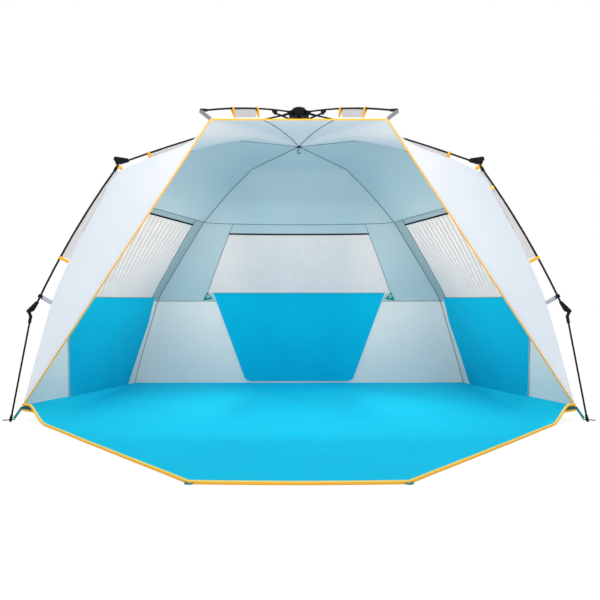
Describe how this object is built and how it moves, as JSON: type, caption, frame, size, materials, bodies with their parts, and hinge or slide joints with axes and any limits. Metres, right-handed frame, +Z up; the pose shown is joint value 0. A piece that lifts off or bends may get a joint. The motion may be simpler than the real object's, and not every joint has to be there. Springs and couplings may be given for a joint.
{
  "type": "beach tent",
  "caption": "Open-fronted beach tent on a folding hub frame, with net windows, hanging window covers and a floor that runs out as a porch.",
  "frame": {"origin": "on the ground, in the floor's underside, straight below the middle of the top hub", "axes": "+Z up, +X to the right as seen from the open front, and the front faces -Y"},
  "size_m": [2.5174, 2.178, 1.47],
  "materials": {
    "pole": "satin",
    "fitting": "matte",
    "fly": "matte",
    "ceiling": "matte",
    "front_roof": "matte",
    "wall": "matte",
    "net": "matte",
    "floor_cloth": "matte",
    "cover_cloth": "matte",
    "webbing": "matte"
  },
  "bodies": {
    "shell": {"hub_top": "fitting", "floor": "floor_cloth", "roof_front": "front_roof", "roof_left": "ceiling", "roof_right": "ceiling", "roof_back": "ceiling", "wing_left": "fly", "wing_right": "fly", "window_wall_back": "wall", "window_wall_left": "wall", "window_wall_right": "wall", "window_net_back": "net", "window_net_left": "net", "window_net_right": "net", "lower_wall_back": "wall", "lower_wall_left": "wall", "lower_wall_right": "wall", "corner_strap_left": "webbing", "corner_strap_right": "webbing"},
    "lower_hub": {"hub_lower": "fitting", "hub_strap": "fly", "hook_patch": "fitting"},
    "hook": {"ceiling_hook": "fitting"},
    "porch": {"porch": "floor_cloth"},
    "cover_back": {"window_cover_back": "cover_cloth"},
    "cover_left": {"window_cover_left": "cover_cloth"},
    "cover_right": {"window_cover_right": "cover_cloth"},
    "side_arm_right": {"upper_pole_side_right": "pole", "elbow_housing_side_right": "fitting"},
    "side_strut_right": {"strut_side_right": "fitting"},
    "side_middle_right": {"middle_pole_side_right": "pole", "knee_housing_side_right": "fitting"},
    "side_lower_right": {"lower_pole_side_right": "pole", "foot_side_right": "fitting"},
    "side_arm_left": {"upper_pole_side_left": "pole", "elbow_housing_side_left": "fitting"},
    "side_strut_left": {"strut_side_left": "fitting"},
    "side_middle_left": {"middle_pole_side_left": "pole", "knee_housing_side_left": "fitting"},
    "side_lower_left": {"lower_pole_side_left": "pole", "foot_side_left": "fitting"},
    "rear_arm_right": {"upper_pole_rear_right": "pole", "elbow_housing_rear_right": "fitting"},
    "rear_strut_right": {"strut_rear_right": "fitting"},
    "rear_middle_right": {"middle_pole_rear_right": "pole", "knee_housing_rear_right": "fitting"},
    "rear_lower_right": {"lower_pole_rear_right": "pole", "foot_rear_right": "fitting"},
    "rear_arm_left": {"upper_pole_rear_left": "pole", "elbow_housing_rear_left": "fitting"},
    "rear_strut_left": {"strut_rear_left": "fitting"},
    "rear_middle_left": {"middle_pole_rear_left": "pole", "knee_housing_rear_left": "fitting"},
    "rear_lower_left": {"lower_pole_rear_left": "pole", "foot_rear_left": "fitting"},
    "front_arm_right": {"front_arm_right": "pole"},
    "front_strut_right": {"strut_front_right": "fitting"},
    "front_arm_left": {"front_arm_left": "pole"},
    "front_strut_left": {"strut_front_left": "fitting"}
  },
  "joints": [
    {"name": "side_arm_right_fold", "type": "hinge", "parent": "shell", "child": "side_arm_right", "pos_m": [0.03577, -0.01284, 1.44], "axis": [0.3378, 0.9412, 0], "range_deg": [0, 69.41], "deforming": ["floor", "roof_front", "roof_left", "roof_right", "roof_back", "wing_left", "wing_right", "window_wall_back", "window_wall_left", "window_wall_right", "window_net_back", "window_net_left", "window_net_right", "lower_wall_back", "lower_wall_left", "lower_wall_right"]},
    {"name": "side_strut_right_turn", "type": "hinge", "parent": "lower_hub", "child": "side_strut_right", "pos_m": [0.02447, -0.00878, 1.39], "axis": [-0.3378, -0.9412, 0], "range_deg": [0, 95.45]},
    {"name": "side_elbow_right", "type": "hinge", "parent": "side_arm_right", "child": "side_middle_right", "pos_m": [0.82208, -0.29504, 1.14971], "axis": [-0.3378, -0.9412, 0], "range_deg": [0, 216.91]},
    {"name": "side_knee_right", "type": "hinge", "parent": "side_middle_right", "child": "side_lower_right", "pos_m": [1.15909, -0.41599, 0.46952], "axis": [-0.3378, -0.9412, 0], "range_deg": [0, 196.95]},
    {"name": "side_arm_left_fold", "type": "hinge", "parent": "shell", "child": "side_arm_left", "pos_m": [-0.03577, -0.01284, 1.44], "axis": [0.3378, -0.9412, 0], "range_deg": [0, 69.41]},
    {"name": "side_strut_left_turn", "type": "hinge", "parent": "lower_hub", "child": "side_strut_left", "pos_m": [-0.02447, -0.00878, 1.39], "axis": [-0.3378, 0.9412, 0], "range_deg": [0, 95.45]},
    {"name": "side_elbow_left", "type": "hinge", "parent": "side_arm_left", "child": "side_middle_left", "pos_m": [-0.82208, -0.29504, 1.14971], "axis": [-0.3378, 0.9412, 0], "range_deg": [0, 216.91]},
    {"name": "side_knee_left", "type": "hinge", "parent": "side_middle_left", "child": "side_lower_left", "pos_m": [-1.15909, -0.41599, 0.46952], "axis": [-0.3378, 0.9412, 0], "range_deg": [0, 196.95]},
    {"name": "rear_arm_right_fold", "type": "hinge", "parent": "shell", "child": "rear_arm_right", "pos_m": [0.02995, 0.02339, 1.44], "axis": [-0.6156, 0.7881, 0], "range_deg": [0, 55.25]},
    {"name": "rear_strut_right_turn", "type": "hinge", "parent": "lower_hub", "child": "rear_strut_right", "pos_m": [0.02049, 0.016, 1.39], "axis": [0.6156, -0.7881, 0], "range_deg": [0, 110.2]},
    {"name": "rear_elbow_right", "type": "hinge", "parent": "rear_arm_right", "child": "rear_middle_right", "pos_m": [0.5355, 0.4183, 1.02171], "axis": [0.6156, -0.7881, 0], "range_deg": [0, 186.44]},
    {"name": "rear_knee_right", "type": "hinge", "parent": "rear_middle_right", "child": "rear_lower_right", "pos_m": [0.8788, 0.68646, 0.53673], "axis": [0.6156, -0.7881, 0], "range_deg": [0, 196.94]},
    {"name": "rear_arm_left_fold", "type": "hinge", "parent": "shell", "child": "rear_arm_left", "pos_m": [-0.02995, 0.02339, 1.44], "axis": [-0.6156, -0.7881, 0], "range_deg": [0, 55.25]},
    {"name": "rear_strut_left_turn", "type": "hinge", "parent": "lower_hub", "child": "rear_strut_left", "pos_m": [-0.02049, 0.016, 1.39], "axis": [0.6156, 0.7881, 0], "range_deg": [0, 110.2]},
    {"name": "rear_elbow_left", "type": "hinge", "parent": "rear_arm_left", "child": "rear_middle_left", "pos_m": [-0.5355, 0.4183, 1.02171], "axis": [0.6156, 0.7881, 0], "range_deg": [0, 186.44]},
    {"name": "rear_knee_left", "type": "hinge", "parent": "rear_middle_left", "child": "rear_lower_left", "pos_m": [-0.8788, 0.68646, 0.53673], "axis": [0.6156, 0.7881, 0], "range_deg": [0, 196.94]},
    {"name": "front_arm_right_fold", "type": "hinge", "parent": "shell", "child": "front_arm_right", "pos_m": [0.02409, -0.02938, 1.44], "axis": [0.7733, 0.6341, 0], "range_deg": [0, 77.58]},
    {"name": "front_strut_right_turn", "type": "hinge", "parent": "lower_hub", "child": "front_strut_right", "pos_m": [0.01649, -0.02011, 1.39], "axis": [-0.7733, -0.6341, 0], "range_deg": [0, 87.5]},
    {"name": "front_arm_left_fold", "type": "hinge", "parent": "shell", "child": "front_arm_left", "pos_m": [-0.02409, -0.02938, 1.44], "axis": [0.7733, -0.6341, 0], "range_deg": [0, 77.58]},
    {"name": "front_strut_left_turn", "type": "hinge", "parent": "lower_hub", "child": "front_strut_left", "pos_m": [-0.01649, -0.02011, 1.39], "axis": [-0.7733, 0.6341, 0], "range_deg": [0, 87.5]},
    {"name": "lower_hub_slide", "type": "slide", "parent": "shell", "child": "lower_hub", "axis": [0, 0, -1], "range_m": [0, 0.25]},
    {"name": "hook_swing", "type": "hinge", "parent": "lower_hub", "child": "hook", "pos_m": [0, 0, 1.26968], "axis": [1, 0, 0], "range_deg": [-40, 40]},
    {"name": "porch_fold", "type": "hinge", "parent": "shell", "child": "porch", "pos_m": [0, -0.554, 0.0025], "axis": [-1, 0, 0], "range_deg": [0, 90]},
    {"name": "window_cover_back_turn", "type": "hinge", "parent": "shell", "child": "cover_back", "pos_m": [0, 0.63977, 0.55824], "axis": [-1, 0, 0], "range_deg": [0, 162]},
    {"name": "window_cover_left_turn", "type": "hinge", "parent": "shell", "child": "cover_left", "pos_m": [-0.92905, 0.22243, 0.52958], "axis": [-0.209, -0.9779, 0], "range_deg": [0, 127]},
    {"name": "window_cover_right_turn", "type": "hinge", "parent": "shell", "child": "cover_right", "pos_m": [0.92905, 0.22243, 0.52958], "axis": [-0.209, 0.9779, 0], "range_deg": [0, 127]}
  ],
  "couplings": [
    {"joint": "side_strut_right_turn", "follows": "side_arm_right_fold", "ratio": 1.375},
    {"joint": "side_elbow_right", "follows": "side_arm_right_fold", "ratio": 3.1248},
    {"joint": "side_arm_left_fold", "follows": "side_arm_right_fold", "ratio": 1},
    {"joint": "side_strut_left_turn", "follows": "side_arm_right_fold", "ratio": 1.375},
    {"joint": "side_elbow_left", "follows": "side_arm_right_fold", "ratio": 3.1248},
    {"joint": "rear_arm_right_fold", "follows": "side_arm_right_fold", "ratio": 0.79593},
    {"joint": "rear_strut_right_turn", "follows": "side_arm_right_fold", "ratio": 1.5876},
    {"joint": "rear_elbow_right", "follows": "side_arm_right_fold", "ratio": 2.6859},
    {"joint": "rear_arm_left_fold", "follows": "side_arm_right_fold", "ratio": 0.79593},
    {"joint": "rear_strut_left_turn", "follows": "side_arm_right_fold", "ratio": 1.5876},
    {"joint": "rear_elbow_left", "follows": "side_arm_right_fold", "ratio": 2.6859},
    {"joint": "front_arm_right_fold", "follows": "side_arm_right_fold", "ratio": 1.1177},
    {"joint": "front_strut_right_turn", "follows": "side_arm_right_fold", "ratio": 1.2605},
    {"joint": "front_arm_left_fold", "follows": "side_arm_right_fold", "ratio": 1.1177},
    {"joint": "front_strut_left_turn", "follows": "side_arm_right_fold", "ratio": 1.2605},
    {"joint": "lower_hub_slide", "follows": "side_arm_right_fold", "m_per_rad": 0.20636}
  ]
}
